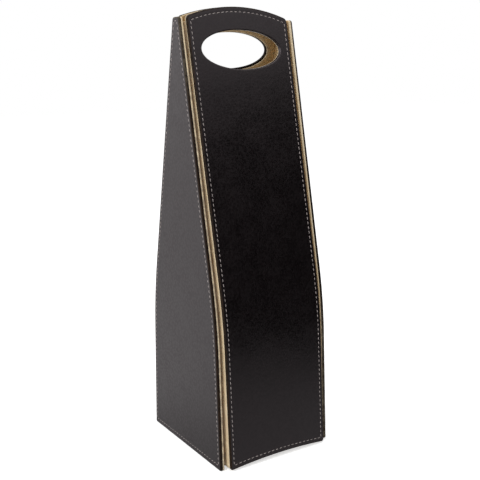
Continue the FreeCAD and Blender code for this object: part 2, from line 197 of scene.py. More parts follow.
grainGroup = makeGrainGroup(grainForm)
wearAndShadingGroup = makeWearAndShadingGroup()
napGroup = makeNapGroup(napForm)


# Materials: every look has its bump's depth in metres and strength, and some set the shader's sockets

def emptyTree(owner):
    owner.use_nodes = True
    owner.node_tree.nodes.clear()
    return owner.node_tree


def showShader(tree, shader, owner="Material"):
    output = tree.nodes.new(f"ShaderNodeOutput{owner}")
    tree.links.new(shader.outputs[0], output.inputs["Surface"])


def makeMaterial(name, look, surface):
    # the surface gives what changes from place to place, and the rest is set on the shader itself
    material = bpy.data.materials.new(name)
    tree = emptyTree(material)
    shader = tree.nodes.new("ShaderNodeBsdfPrincipled")
    showShader(tree, shader)
    place = tree.nodes.new("ShaderNodeTexCoord").outputs["Object"]
    colour, rough, height = surface(tree, place, look)
    depth, strength = look["bump"]
    bump = firstOut(tree, "ShaderNodeBump", {"Height": height, "Distance": depth, "Strength": strength})
    for socket, value in (("Base Color", colour), ("Roughness", rough), ("Normal", bump)):
        tree.links.new(value, shader.inputs[socket])
    for socket, value in look.get("sockets", {}).items():
        shader.inputs[socket].default_value = value
    return material


def attributeValue(tree, name):
    return addNode(tree, "ShaderNodeAttribute", attribute_name=name).outputs["Fac"]


def wearAndShadingMask(tree, place, rim, look):
    inputs = {"Vector": place, "Rim": rim, "Patches": look["patches"], "Amount": look["wear"]}
    return placeGroup(tree, wearAndShadingGroup, inputs)["Mask"]


leatherLook = {
    "dark": (0.0024, 0.0009, 0.0012),
    "light": (0.0042, 0.0019, 0.0023),
    "worn": (0.014, 0.008, 0.006),
    "pebbles": 430.0,  # cells to the metre
    "wrinkles": 190.0,
    "mottle": 45.0,
    "patches": 260.0,
    "wear": 0.55,
    # how much painted shade darkens the creases
    "creaseShade": 0.5,
    "roughness": 0.29,
    "mottleRough": 0.06,  # roughness that the mottle and the creases add
    "creaseRough": 0.12,
    "bump": (0.00012, 0.36),
    "sockets": {"IOR": 1.7, "Specular Tint": (1.0, 0.885, 0.925, 1.0)},
}


def leatherSurface(tree, place, look):
    grain = placeGroup(tree, grainGroup, {"Vector": place, "Pebbles": look["pebbles"],
                       "Wrinkles": look["wrinkles"], "Mottle Scale": look["mottle"]})
    wear = wearAndShadingMask(tree, place, attributeValue(tree, "rim"), look)
    hide = mixColour(tree, grain["Mottle"], look["dark"], look["light"])
    # painted shade: the creases between the pebbles are darkened
    creaseShadow = times(tree, grain["Crease"], look["creaseShade"])
    colour = mixColour(tree, wear, mixColour(tree, creaseShadow, hide, look["dark"]), look["worn"])
    rough = plus(tree, times(tree, grain["Mottle"], look["mottleRough"]), look["roughness"])
    rough = plus(tree, rough, times(tree, grain["Crease"], look["creaseRough"]))
    return colour, rough, grain["Height"]


edgeLook = {
    "dark": (0.010, 0.0048, 0.0022),
    "light": (0.020, 0.0100, 0.0045),
    "rubbed": (0.17, 0.145, 0.10),  # painted highlight: paler paint where light catches the turned edges
    "streaks": 260.0,
    "patches": 220.0,
    "wear": 1.0,
    "bump": (0.00006, 0.5),
    "sockets": {"IOR": 1.26},
}


def paintSurface(tree, place, look):
    # matt, streaky paint on the turned edges of the leather, with a painted highlight laid over it in
    # places
    streaks = noiseNode(tree, place, look["streaks"], 4.0)
    shade = rampNode(tree, streaks, 0.0, 1.0, 0.35, 0.65)
    paint = mixColour(tree, shade, look["dark"], look["light"])
    # the painted highlight comes in patches where the attribute is high
    wear = wearAndShadingMask(tree, place, attributeValue(tree, "handled"), look)
    return mixColour(tree, wear, paint, look["rubbed"]), rampNode(tree, shade, 0.62, 0.5), streaks


suedeLook = {
    "pale": (0.67, 0.455, 0.20),
    "deep": (0.49, 0.31, 0.12),
    "edge": (0.86, 0.74, 0.54),  # where the suede turns over an edge
    "edgeDeep": (0.70, 0.57, 0.38),
    "soiled": (0.34, 0.27, 0.19),  # soil along the edges, and painted shade where the lining lies in shadow
    "fibres": 2600.0,
    "napPatches": 55.0,
    "patches": 180.0,
    "wear": 0.8,
    "rimWear": 0.15,
    "bump": (0.00022, 0.6),
    "sockets": {"Sheen Weight": 0.18, "Sheen Roughness": 0.45, "Specular IOR Level": 0.2},
}


def suedeSurface(tree, place, look):
    rim = attributeValue(tree, "rim")
    inputs = {"Vector": place, "Fibres": look["fibres"], "Patches": look["napPatches"]}
    nap = placeGroup(tree, napGroup, inputs)
    # soil along the edges, plus painted shade where the lining lies in shadow
    soilAndShadeAmount = plus(tree, times(tree, rim, look["rimWear"]), attributeValue(tree, "handled"))
    flat = mixColour(tree, nap["Shade"], look["pale"], look["deep"])
    turned = mixColour(tree, nap["Shade"], look["edge"], look["edgeDeep"])
    cloth = mixColour(tree, rim, flat, turned)
    colour = mixColour(tree, wearAndShadingMask(tree, place, soilAndShadeAmount, look), cloth, look["soiled"])
    return colour, rampNode(tree, nap["Shade"], 0.86, 0.97), nap["Height"]


threadLook = {
    "pale": (0.51, 0.445, 0.43),
    # the darker thread colour stands for dirt, and for painted shade in the grooves between the plies
    "dirty": (0.30, 0.26, 0.245),
    "twists": 3.0,
    "plies": 2,
    "dirtScale": 420.0,
    "dirtShade": 0.5,
    "grooveShade": 0.6,
    "bump": (0.00008, 0.8),
}


def threadSurface(tree, place, look):
    along = times(tree, attributeValue(tree, "along"), look["twists"])
    turn = plus(tree, along, attributeValue(tree, "around"))
    wave = mathNode(tree, "SINE", times(tree, turn, 2 * math.pi * look["plies"]))
    ply = rampNode(tree, wave, 0.0, 1.0, -1.0, 0.6)
    noise = noiseNode(tree, place, look["dirtScale"], 3.0)
    dirt = rampNode(tree, noise, 0.0, look["dirtShade"], 0.35, 0.7)
    # painted shade in the grooves between the plies, with patchy dirt added
    grooveShadow = times(tree, mathNode(tree, "SUBTRACT", 1.0, ply), look["grooveShade"])
    shade = mathNode(tree, "ADD", grooveShadow, dirt, clamp=True)
    return mixColour(tree, shade, look["pale"], look["dirty"]), rampNode(tree, ply, 0.72, 0.55), ply


boardLook = {
    "pale": (0.23, 0.17, 0.11),
    "dark": (0.12, 0.085, 0.055),
    "layers": (1.0, 1.0, 7.0),
    "fibres": 900.0,
    "clumps": 120.0,
    "bump": (0.0001, 0.5),
}


def boardSurface(tree, place, look):
    layers = firstOut(tree, "ShaderNodeMapping", {"Vector": place, "Scale": look["layers"]})
    fibres = noiseNode(tree, layers, look["fibres"], 6.0)
    mixed = plus(tree, fibres, noiseNode(tree, place, look["clumps"], 3.0))
    shade = rampNode(tree, mixed, 0.0, 1.0, 0.75, 1.25)
    return mixColour(tree, shade, look["pale"], look["dark"]), rampNode(tree, shade, 0.8, 0.92), fibres


magnetLook = {
    "bright": (0.70, 0.68, 0.64),
    "dull": (0.48, 0.46, 0.43),
    "stretch": (1.0, 9.0, 9.0),
    "brush": 600.0,
    "stains": 260.0,
    "bump": (0.00002, 0.4),
    "sockets": {"Metallic": 1.0},
}


def nickelSurface(tree, place, look):
    drawn = firstOut(tree, "ShaderNodeMapping", {"Vector": place, "Scale": look["stretch"]})
    brushed = noiseNode(tree, drawn, look["brush"], 4.0)
    dullness = rampNode(tree, noiseNode(tree, place, look["stains"], 3.0), 0.0, 1.0, 0.4, 0.7)
    colour = mixColour(tree, dullness, look["bright"], look["dull"])
    return colour, rampNode(tree, brushed, 0.22, 0.42, 0.3, 0.7), brushed


soleLook = {**leatherLook, "pebbles": 620.0, "roughness": 0.5}
stripLook = {**suedeLook, "pale": (0.56, 0.42, 0.24), "fibres": 2200.0}
leather = makeMaterial("blackLeather", leatherLook, leatherSurface)
soleLeather = makeMaterial("baseLeather", soleLook, leatherSurface)
edgePaint = makeMaterial("paintedEdge", edgeLook, paintSurface)
suede = makeMaterial("creamSuede", suedeLook, suedeSurface)
hingeSuede = makeMaterial("hingeSuede", stripLook, suedeSurface)
thread = makeMaterial("waxedThread", threadLook, threadSurface)
fibreBoard = makeMaterial("fibreBoard", boardLook, boardSurface)
nickel = makeMaterial("platedNickel", magnetLook, nickelSurface)
print("materials made:", len(bpy.data.materials))


# Outlines of the panels, in millimetres

bentPanel = {
    "footDepth": 66.9,
    "bendDepth": 59.4,
    "topDepth": 4.66,
    "bendHeight": 133.0,
    "topHeight": 391.2,
    "bendRadius": 410.0,
    "crownRise": 9.0,
    "halfWidth": 50.6,
    "footLift": 1.3,
    "footArch": 2.6,
    "footCorner": 2.0,
    "shoulderCorner": 4.2,
    "crownMargin": 1.1,  # how much further in the stitches run at the crown and the foot
    "footMargin": 0.9,
    "gripHeight": 355.3,
    "gripHalf": 39.9,
    "gripRise": 16.45,
    "gripSteps": 96,
    "steps": (24, 8, 126, 8, 24),  # along half the foot, a corner, an edge, a corner and half the top
}

# the back is a little wider than the door, with sharper shoulders
backPanel = {**bentPanel, "crownRise": 8.6, "halfWidth": 52.2, "shoulderCorner": 2.8}

sidePlate = {
    "footDepth": 61.1,
    "bendDepth": 55.5,
    "topDepth": 4.868,
    "bendHeight": 133.0,
    "topHeight": 382.2,
    "bendRadius": 410.0,
    "edgeTop": 381.5,
    "low": 0.3,
    "footCorner": 1.4,
    "topCorner": 2.8,
    "footMargin": 1.3,
    "outer": 57.9,
    "steps": (20, 6, 126, 8, 4),
}

cover = {
    "thickness": 4.2,
    "skin": 0.9,
    "tuck": 1.3,  # the lining's hidden face starts this far in
    "seam": 0.04,
    "leatherRoll": 1.0,
    "leatherSteps": 6,
    "leatherBevel": 0.25,
    "liningRoll": 0.65,
    "liningSteps": 4,
    "liningBevel": 0.2,
    "liningFlat": 1.9,
    "marginStart": 1.7,  # from here in to the stitches the border widens by its margins
    "stitchInset": 3.2,
    "stitchDip": 0.14,
    "dipBend": 0.35,  # to either side of the stitches the leather's dip bends and ends here
    "dipEnd": 0.8,
    "liningDip": 0.4,
    "border": 4.6,
    "grid": 6.0,
    "leastCorner": 0.5,
    "handledFace": 0.7,  # how much of its edges' painted light and shade the faces round a hand hole take
    "wrapBetween": (100.0, 385.0),  # heights between which a deeper edge grows shallow
}

# a panel's edges, with pairs of values for low down and for the top
plainEdge = {
    "wrap": 2.6,  # how deep the leather turns round them, and how much deeper at the foot
    "deeper": 0.0,
    "short": 0.0,  # how far short of them the lining stops
    "painted": 0.5,  # the paint covers what belongs to the rim by more than this
    "rubbed": (0.0, 0.0),  # how much painted highlight lies on the edge paint
    "handled": (0.0, 0.0),  # how much painted shade darkens the lining
    "between": (310.0, 385.0),  # heights between which those two change
    "tight": 0.0,  # how much smaller than the oval a hand hole is
    "drop": 0.0,  # how far the lining hangs down round it
}
# the linings take painted shade high on the door and low on the sides; the left edge paint takes a painted
# highlight near the top, the right one low down
panelEdges = {
    "door": {**plainEdge, "handled": (0.0, 1.2)},
    "back": {**plainEdge, "wrap": 3.5, "short": 0.45},
    "left": {**plainEdge, "wrap": 2.5, "rubbed": (0.0, 1.0), "handled": (1.4, 0.1)},
    "right": {**plainEdge, "wrap": 1.7, "deeper": 1.7, "rubbed": (0.6, 0.0), "handled": (2.5, 0.0),
              "between": (95.0, 150.0)},
}

# what differs round the hand holes
gripEdges = {
    # painted shade darkens the lining round the tops of the hand holes
    "door": {"wrap": 3.3, "handled": (0.0, 1.0), "painted": 1.1},
    "back": {"short": 1.0, "handled": (0.0, 1.5), "between": (340.0, 372.0), "painted": 0.85,
             "tight": 1.1, "drop": 1.0},
}


def slopesOf(form):
    lower = (form["footDepth"] - form["bendDepth"]) / form["bendHeight"]
    upper = (form["bendDepth"] - form["topDepth"]) / (form["topHeight"] - form["bendHeight"])
    return lower, upper


def bentDepth(form, height, offset):
    # distance of the bent face from the middle plane at a height, set in by an offset
    lower, upper = slopesOf(form)
    lowerStretch = math.hypot(1, lower)
    upperStretch = math.hypot(1, upper)
    radius = form["bendRadius"] - offset
    hubHeight = form["bendHeight"] - form["bendRadius"] * (lowerStretch - upperStretch) / (lower - upper)
    hubDepth = form["footDepth"] - lower * hubHeight - form["bendRadius"] * lowerStretch
    if height < hubHeight + radius * lower / lowerStretch:
        return form["footDepth"] - lower * height - offset * lowerStretch
    if height > hubHeight + radius * upper / upperStretch:
        return form["bendDepth"] - upper * (height - form["bendHeight"]) - offset * upperStretch
    return hubDepth + math.sqrt(radius**2 - (height - hubHeight) ** 2)


def arcPoints(hub, radius, start, end, steps):
    # points of an arc without its last one
    angles = [start + (end - start) * step / steps for step in range(steps)]
    return [(hub[0] + radius * math.cos(a), hub[1] + radius * math.sin(a)) for a in angles]


def linePoints(start, end, steps):
    # points of a line without its last one
    return [tuple(s + (e - s) * step / steps for s, e in zip(start, end)) for step in range(steps)]


def mirrored(points):
    return [(-u, v) for u, v in points]


def ratio(value, low, high):
    return min(max((value - low) / (high - low), 0.0), 1.0)


def widening(inset):
    return ratio(inset, cover["marginStart"], cover["stitchInset"])


def panelOutline(form, inset):
    # arched foot, straight sides and arched crown with round corners, set in by an inset
    half = form["halfWidth"]
    reach = half - inset
    crownFull = half**2 / (2 * form["crownRise"]) + form["crownRise"] / 2
    footFull = half**2 / (2 * form["footArch"]) + form["footArch"] / 2
    crownHub = (0.0, form["topHeight"] - crownFull)
    footHub = (0.0, form["footLift"] + form["footArch"] - footFull)
    crown = crownFull - inset - form["crownMargin"] * widening(inset)
    foot = footFull + inset + form["footMargin"] * widening(inset)
    corner = max(form["footCorner"] - inset, cover["leastCorner"])
    shoulder = max(form["shoulderCorner"] - inset, cover["leastCorner"])
    footRise = math.sqrt((foot + corner) ** 2 - (reach - corner) ** 2)
    crownRise = math.sqrt((crown - shoulder) ** 2 - (reach - shoulder) ** 2)
    lowHub = (reach - corner, footHub[1] + footRise)
    highHub = (reach - shoulder, crownHub[1] + crownRise)
    footTurn = math.atan2(lowHub[1] - footHub[1], lowHub[0])
    crownTurn = math.atan2(highHub[1] - crownHub[1], highHub[0])
    steps = form["steps"]
    right = arcPoints(footHub, foot, rightAngle, footTurn, steps[0])
    right += arcPoints(lowHub, corner, footTurn - math.pi, 0, steps[1])
    right += linePoints((reach, lowHub[1]), (reach, highHub[1]), steps[2])
    right += arcPoints(highHub, shoulder, 0, crownTurn, steps[3])
    right += arcPoints(crownHub, crown, crownTurn, rightAngle, steps[4])
    top = [(0.0, crownHub[1] + crown)]
    return right + top + mirrored(right[:0:-1])


def gripOutline(tight, drop, inset):
    # the oval hand hole, its rim set back by an inset
    form = bentPanel
    away = inset - tight
    middle = form["gripHeight"] - drop
    points = []
    for step in range(form["gripSteps"]):
        angle = 2 * math.pi * step / form["gripSteps"]
        across = form["gripHalf"] * math.cos(angle)
        rise = form["gripRise"] * math.sin(angle)
        normal = Vector((across / form["gripHalf"] ** 2, rise / form["gripRise"] ** 2)).normalized()
        points.append((across + normal.x * away, middle + rise + normal.y * away))
    return points


def sideOutline(inset):
    # flat foot, bent edges and a narrow top, set in by an inset
    form = sidePlate
    lowerLean, upperLean = (math.atan(slope) for slope in slopesOf(form))
    corner = max(form["footCorner"] - inset, cover["leastCorner"])
    shoulder = max(form["topCorner"] - inset, cover["leastCorner"])
    foot = form["low"] + inset + form["footMargin"] * widening(inset)
    top = form["edgeTop"] - inset
    lowHub = (bentDepth(form, foot + corner, inset + corner), foot + corner)
    highHub = (bentDepth(form, top - shoulder, inset + shoulder), top - shoulder)
    edgeLow = lowHub[1] + corner * math.sin(lowerLean)
    edgeHigh = highHub[1] + shoulder * math.sin(upperLean)
    steps = form["steps"]
    right = linePoints((0.0, foot), (lowHub[0], foot), steps[0])
    right += arcPoints(lowHub, corner, -rightAngle, lowerLean, steps[1])
    for _, height in linePoints((0.0, edgeLow), (0.0, edgeHigh), steps[2]):
        right.append((bentDepth(form, height, inset), height))
    right += arcPoints(highHub, shoulder, upperLean, rightAngle, steps[3])
    right += linePoints((highHub[0], top), (0.0, top), steps[4])
    return right + [(0.0, top)] + mirrored(right[:0:-1])


def bentPlace(facing, point, depth):
    across, height = point
    return Vector((across, facing * bentDepth(bentPanel, height, depth), height)) * millimetre


def sidePlace(hand, point, depth):
    along, height = point
    return Vector((hand * (sidePlate["outer"] - depth), along, height)) * millimetre


def bentNormal(facing, point):
    step = 0.5
    rise = bentDepth(bentPanel, point[1] + step, 0) - bentDepth(bentPanel, point[1] - step, 0)
    return Vector((0, facing, -rise / (2 * step))).normalized()


def sideNormal(hand, point):
    return Vector((hand, 0, 0))


# the depth of a panel's stitched face, and whether it looks outward or in
outerFace = (cover["stitchDip"], 1)
innerFace = (cover["thickness"] - cover["stitchDip"], -1)


def bentSide(body, form, facing):
    # the body that a panel rides on, its outline, how its points are placed and its stitched faces
    return {"body": body, "steps": form["steps"], "outline": partial(panelOutline, form),
            "place": partial(bentPlace, facing), "normal": partial(bentNormal, facing), "sewn": [outerFace]}


def flatSide(hand):
    return {"body": "carrier", "steps": sidePlate["steps"], "outline": sideOutline,
            "place": partial(sidePlace, hand), "normal": partial(sideNormal, hand),
            "sewn": [outerFace, innerFace]}


panels = {
    "door": bentSide("front_door", bentPanel, door),
    "back": bentSide("carrier", backPanel, back),
    "left": flatSide(-1),
    "right": flatSide(1),
}


# Covers: rings round every edge, and faces filled inside the first and the last ring

def quarterRoll(radius, steps):
    # how far in and how deep a rounded edge lies, from the panel's edge to its face
    angles = [rightAngle * step / steps for step in range(steps + 1)]
    return [(radius * (1 - math.cos(angle)), radius * (1 - math.sin(angle))) for angle in angles]


def leatherRings(edge, dip):
    # each ring is its inset, its depth from the outer face, how far it belongs to the rim and how
    # much deeper it lies at the foot
    bevel = cover["leatherBevel"]
    skin = cover["skin"]
    lip = edge["wrap"] - cover["seam"]
    deeper = edge["deeper"]
    rings = [(skin, skin, 0.0, 0.0), (skin, lip, 1.0, deeper)]
    rings += [(bevel, lip, 1.0, deeper), (0.0, lip - bevel, 1.0, deeper)]
    for step, (inset, depth) in enumerate(quarterRoll(cover["leatherRoll"], cover["leatherSteps"])):
        rings.append((inset, depth, 1.0 - 0.08 * step, 0.0))
    middle = cover["stitchInset"]
    bend = cover["dipBend"]
    end = cover["dipEnd"]
    shown = [(cover["marginStart"], 0.0, 0.3), (middle - end, 0.0, 0.15)]
    shown += [(middle - bend, dip / 2, 0.1), (middle, dip, 0.05), (middle + bend, dip / 2, 0.0)]
    shown += [(middle + end, 0.0, 0.0), (cover["border"], 0.0, 0.0)]
    return rings + [(*ring, 0.0) for ring in shown]


def liningRings(edge, dip):
    roll = cover["liningRoll"]
    short = edge["short"]
    thickness = cover["thickness"]
    inner = thickness - cover["skin"]
    lip = (inner if short else edge["wrap"]) + cover["seam"]
    start = cover["tuck"]
    deeper = edge["deeper"]
    bevel = min(cover["liningBevel"], (thickness - roll - lip - deeper) / 2)
    rings = [(start, inner, 0.0, 0.0), (start, lip, 1.0, deeper)]
    rings += [(short + bevel, lip, 1.0, deeper), (short, lip + bevel, 0.9, deeper)]
    shown = []
    for step, (inset, sunk) in enumerate(quarterRoll(roll, cover["liningSteps"])):
        shown.append((short + inset, thickness - sunk, 0.8 - 0.1 * step))
    middle = cover["stitchInset"]
    end = cover["liningDip"]
    shown += [(cover["liningFlat"], thickness, 0.2), (middle - end, thickness, 0.1)]
    shown += [(middle, thickness - dip, 0.05), (middle + end, thickness, 0.0)]
    shown.append((cover["border"], thickness, 0.0))
    return rings + [(*ring, 0.0) for ring in shown]


def insideLoop(point, loop):
    inside = False
    for (ax, ay), (bx, by) in zip(loop, loop[1:] + loop[:1]):
        if (ay > point[1]) != (by > point[1]):
            if point[0] < ax + (point[1] - ay) / (by - ay) * (bx - ax):
                inside = not inside
    return inside


def bandFaces(first, second):
    # four-sided faces between two loops of the same length
    after = range(1, len(first))
    return [(first[i], first[j], second[j], second[i]) for i, j in zip(range(len(first)), [*after, 0])]


class Cover:
    # a tray of leather or lining: rings round its outline and its hole, and two filled faces

    def __init__(self, outline, hole, place):
        self.outline = outline
        self.hole = hole
        self.place = place
        self.points = []
        self.rim = []
        self.handled = []
        self.faces = []
        self.painted = []  # whether each face is on a turned edge

    def addPoint(self, point, depth, rim, edge):
        # painted light and shade along the edges, changing with height
        low, high = edge["handled"]
        shadingLevel = low + (high - low) * ratio(point[1], *edge["between"])
        least = cover["handledFace"] if self.hole else 0.0
        self.points.append(self.place(point, depth))
        self.rim.append(rim)
        self.handled.append(max(rim, least) * shadingLevel)
        return len(self.points) - 1

    def addRings(self, curve, rings, edge):
        loops = []
        for inset, depth, rim, deeper in rings:
            loop = []
            for point in curve(inset):
                low = 1 - ratio(point[1], *cover["wrapBetween"])
                loop.append(self.addPoint(point, depth + deeper * low, rim, edge))
            loops.append(loop)
        for first, second in zip(loops, loops[1:]):
            painted = min(self.rim[first[0]], self.rim[second[0]]) > edge["painted"]
            self.faces += bandFaces(first, second)
            self.painted += [painted] * len(first)
        return loops[0], loops[-1]

    def fillFace(self, loops, inset, depth, edge):
        # triangles between the loops and a grid of points inside them
        curves = [curve for curve in (self.outline, self.hole) if curve]
        flat = []
        known = []
        edges = []
        for curve, loop in zip(curves, loops):
            start = len(flat)
            points = curve(inset)
            flat += points
            known += loop
            edges += [(start + i, start + (i + 1) % len(points)) for i in range(len(points))]
        grid = cover["grid"]
        clear = inset + grid / 2
        keepIn = self.outline(clear)
        keepOut = self.hole(clear) if self.hole else None
        columns = int(max(u for u, _ in keepIn) / grid)
        for row in range(int(max(v for _, v in keepIn) / grid) + 1):
            for column in range(-columns, columns + 1):
                point = (column * grid, row * grid)
                if insideLoop(point, keepIn) and not (keepOut and insideLoop(point, keepOut)):
                    flat.append(point)
                    known.append(self.addPoint(point, depth, 0.0, edge))
        insideBorder = 1  # keeps only the triangles inside the edges given
        nearest = 1e-5  # points closer than this would be one
        result = delaunay_2d_cdt([Vector(point) for point in flat], edges, [], insideBorder, nearest)
        opening = self.hole(inset) if self.hole else None
        source = [ids[0] for ids in result[3]]
        for face in result[2]:
            corners = [flat[source[vertex]] for vertex in face]
            middle = [sum(values) / len(corners) for values in zip(*corners)]
            if not (opening and insideLoop(middle, opening)):
                self.faces.append(tuple(known[source[vertex]] for vertex in face))
                self.painted.append(False)

    def build(self, name, rings, edge, grip, materials):
        # the first ring borders the hidden inner face and the last one the face that shows;
        # the hole's rim has no stitches, so its rings have no dip
        border = rings(edge, cover["stitchDip"])
        ends = [self.addRings(self.outline, border, edge)]
        if self.hole:
            ends.append(self.addRings(self.hole, rings(grip, 0.0), grip))
        self.fillFace([first for first, _ in ends], *border[0][:2], grip)
        self.fillFace([last for _, last in ends], *border[-1][:2], grip)
        attributes = {"rim": self.rim, "handled": self.handled}
        piece = meshObject(name, self.points, self.faces, materials, attributes)
        if len(materials) > 1:
            piece.data.polygons.foreach_set("material_index", [int(painted) for painted in self.painted])
        return piece


def addObject(name, data):
    thing = bpy.data.objects.new(name, data)
    bpy.context.scene.collection.objects.link(thing)
    return thing


sharpAngle = 50.0  # degrees


def meshObject(name, points, faces, materials, attributes):
    mesh = bpy.data.meshes.new(name)
    mesh.from_pydata(points, [], faces)
    for attribute, values in attributes.items():
        layer = mesh.attributes.new(attribute, "FLOAT", "POINT")
        layer.data.foreach_set("value", values)
    shell = bmesh.new()
    shell.from_mesh(mesh)
    bmesh.ops.recalc_face_normals(shell, faces=shell.faces)
    shell.to_mesh(mesh)
    shell.free()
    mesh.shade_smooth()
    mesh.set_sharp_from_angle(angle=math.radians(sharpAngle))
    for material in materials:
        mesh.materials.append(material)
    return addObject(name, mesh)


def settle(piece, body, node):
    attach(piece, body)
    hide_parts(node)


def makeCovers(name, panel):
    # leather outside and suede inside, with the board between them
    edge = panelEdges[name]
    grip = {**edge, **gripEdges.get(name, {})}
    outerHole = None
    innerHole = None
    if name in gripEdges:
        outerHole = partial(gripOutline, grip["tight"], 0.0)
        innerHole = partial(gripOutline, grip["tight"], grip["drop"])
    # the edge paint takes its painted highlight where the lining takes its painted shade
    paint = {"handled": edge["rubbed"]}
    outer = Cover(panel["outline"], outerHole, panel["place"])
    piece = outer.build(f"{name}LeatherCover", leatherRings, {**edge, **paint}, {**grip, **paint},
                        [leather, edgePaint])
    settle(piece, panel["body"], f"{name}_leather")
    inner = Cover(panel["outline"], innerHole, panel["place"])
    piece = inner.build(f"{name}SuedeLining", liningRings, edge, grip, [suede])
    settle(piece, panel["body"], f"{name}_lining")


for name, panel in panels.items():
    makeCovers(name, panel)
print("panel covers made")


# Lined rails behind the door's edges and battens in the back corners

bars = {
    "near": 4.3,
    "middleGap": 0.15,
    "round": 1.1,
    "thinRound": 0.4,  # where they grow thin, the rounding is this share of what is left
    "roundSteps": 4,
    "steps": 120,
    "endRound": 0.8,
    "endBevel": 0.25,
    "endLength": 3.0,
    "rim": 0.7,  # the side away from the bottle is paler
    # painted shade on the inner sides of rails and battens, towards the top
    "handled": 0.9,
    "railDepth": 8.0,
    "railDrop": 1.4,  # the rails' lining hangs down this far below their wood
    "battenDepth": 6.0,
}


def tubeFaces(count, size):
    # a closed tube through points that lie in loops of one size
    loops = [range(start, start + size) for start in range(0, count, size)]
    faces = [tuple(loops[0]), tuple(loops[-1])]
    for first, second in zip(loops, loops[1:]):
        faces += bandFaces(first, second)
    return faces


def barStations(foot, top):
    # heights along a bar, and how much its section shrinks there
    ends = ((0.0, bars["endRound"]), (bars["endBevel"], bars["endBevel"]), (bars["endRound"], 0.0))
    opening = [(foot + rise, shrink) for rise, shrink in ends]
    closing = [(top - rise, shrink) for rise, shrink in reversed(ends)]
    inner = linePoints((foot + bars["endLength"], 0), (top - bars["endLength"], 0), bars["steps"])
    return opening + inner + closing


def makeLinedBar(name, node, body, facing, depth, drop):
    # a rounded bar that follows the bent panel's inner face, cut back at the middle plane
    low, high = (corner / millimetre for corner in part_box(node))
    middle = (low.x + high.x) / 2
    half = (high.x - low.x) / 2
    turns = bars["roundSteps"]
    points = []
    rim = []
    handled = []
    for height, shrink in barStations(low.z - drop, high.z):
        front = bentDepth(bentPanel, height, bars["near"]) - shrink
        rear = max(bentDepth(bentPanel, height, bars["near"] + depth), bars["middleGap"]) + shrink
        corner = min(bars["round"], (front - rear) * bars["thinRound"])
        wide = half - shrink - corner
        deep = (front - rear) / 2 - corner
        ring = []
        for across, along, turn in ((1, 1, 0), (-1, 1, 1), (-1, -1, 2), (1, -1, 3)):
            hub = (across * wide, (front + rear) / 2 + along * deep)
            start = turn * rightAngle
            ring += arcPoints(hub, corner, start, start + rightAngle * (turns + 1) / turns, turns + 1)
        # painted shade on the inner side, growing towards the top
        shadingLevel = bars["handled"] * ratio(height, *plainEdge["between"])
        for across, y in ring:
            outward = across * middle > 0
            points.append(Vector((middle + across, facing * y, height)) * millimetre)
            rim.append(bars["rim"] if outward else 0.0)
            handled.append(0.0 if outward else shadingLevel)
    faces = tubeFaces(len(points), len(ring))
    piece = meshObject(name, points, faces, [suede], {"rim": rim, "handled": handled})
    settle(piece, body, node)


for hand in ("left", "right"):
    railName = f"door{hand.capitalize()}Rail"
    makeLinedBar(railName, f"door_{hand}_rail", "front_door", door, bars["railDepth"], bars["railDrop"])
    battenName = f"back{hand.capitalize()}Batten"
    makeLinedBar(battenName, f"back_{hand}_batten", "carrier", back, bars["battenDepth"], 0.0)
print("rails and battens made")


# Base: leather underneath and a suede pad on top

baseLook = {"leatherRound": 0.45, "padRound": 0.4, "roundSteps": 3, "border": 3.5}


def makeSoftSlab(name, node, rounding, material):
    low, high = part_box(node)
    size = high - low
    shell = bmesh.new()
    bmesh.ops.create_cube(shell, size=1.0)
    fitted = Matrix.Translation((low + high) / 2) @ Matrix.Diagonal((*size, 1))
    bmesh.ops.transform(shell, matrix=fitted, verts=shell.verts)
    bmesh.ops.bevel(shell, geom=shell.edges[:], offset=rounding * millimetre,
                    segments=baseLook["roundSteps"], profile=0.5, affect="EDGES")
    wide = [face for face in shell.faces if face.calc_area() > size.x * size.y / 2]
    bmesh.ops.inset_individual(shell, faces=wide, thickness=baseLook["border"] * millimetre)
    flat = {vertex for face in wide for vertex in face.verts}
    rim = [0.0 if vertex in flat else 1.0 for vertex in shell.verts]
    points = [vertex.co.copy() for vertex in shell.verts]
    shell.verts.index_update()
    faces = [tuple(vertex.index for vertex in face.verts) for face in shell.faces]
    shell.free()
    piece = meshObject(name, points, faces, [material], {"rim": rim})
    settle(piece, "carrier", node)


makeSoftSlab("baseLeatherCover", "base_leather", baseLook["leatherRound"], soleLeather)
makeSoftSlab("baseSuedeLining", "base_lining", baseLook["padRound"], suede)


# Suede hinge: one strip from the base up the door's inner face

hingeLook = {
    "thickness": 0.9,
    "leafGap": 0.05,
    "across": 40,
    "bevel": 0.3,  # share of its half thickness
    "rim": 1.0,  # width of its paler sides
    "turn": 1.6,
    "steps": (26, 8, 18),  # along the base, round the turn and up the door
    "sewn": 2.4,  # rows of stitches in from its two ends
    "bendStart": (0, -0.0595, 0.0075),  # in metres
    "bendEnd": (0, -0.0618, 0.0100),
}
stripLow, stripHigh = (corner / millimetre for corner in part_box("hinge_strip"))
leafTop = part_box("door_hinge_leaf")[1].z / millimetre
hingeLevel = (stripLow.z + stripHigh.z) / 2
leafDepth = bars["near"] + hingeLook["thickness"] / 2 + hingeLook["leafGap"]


def hingeProfile(half, thick):
    # across the strip along its upper face, round its end and back along the lower one
    flat = half - thick
    bevel = thick * hingeLook["bevel"]
    side = [(across, thick) for across, _ in linePoints((-flat, 0), (flat, 0), hingeLook["across"])]
    side += [(flat, thick), (half - bevel, thick - bevel), (half, 0.0), (half - bevel, bevel - thick)]
    return side + [(-across, -lift) for across, lift in side]


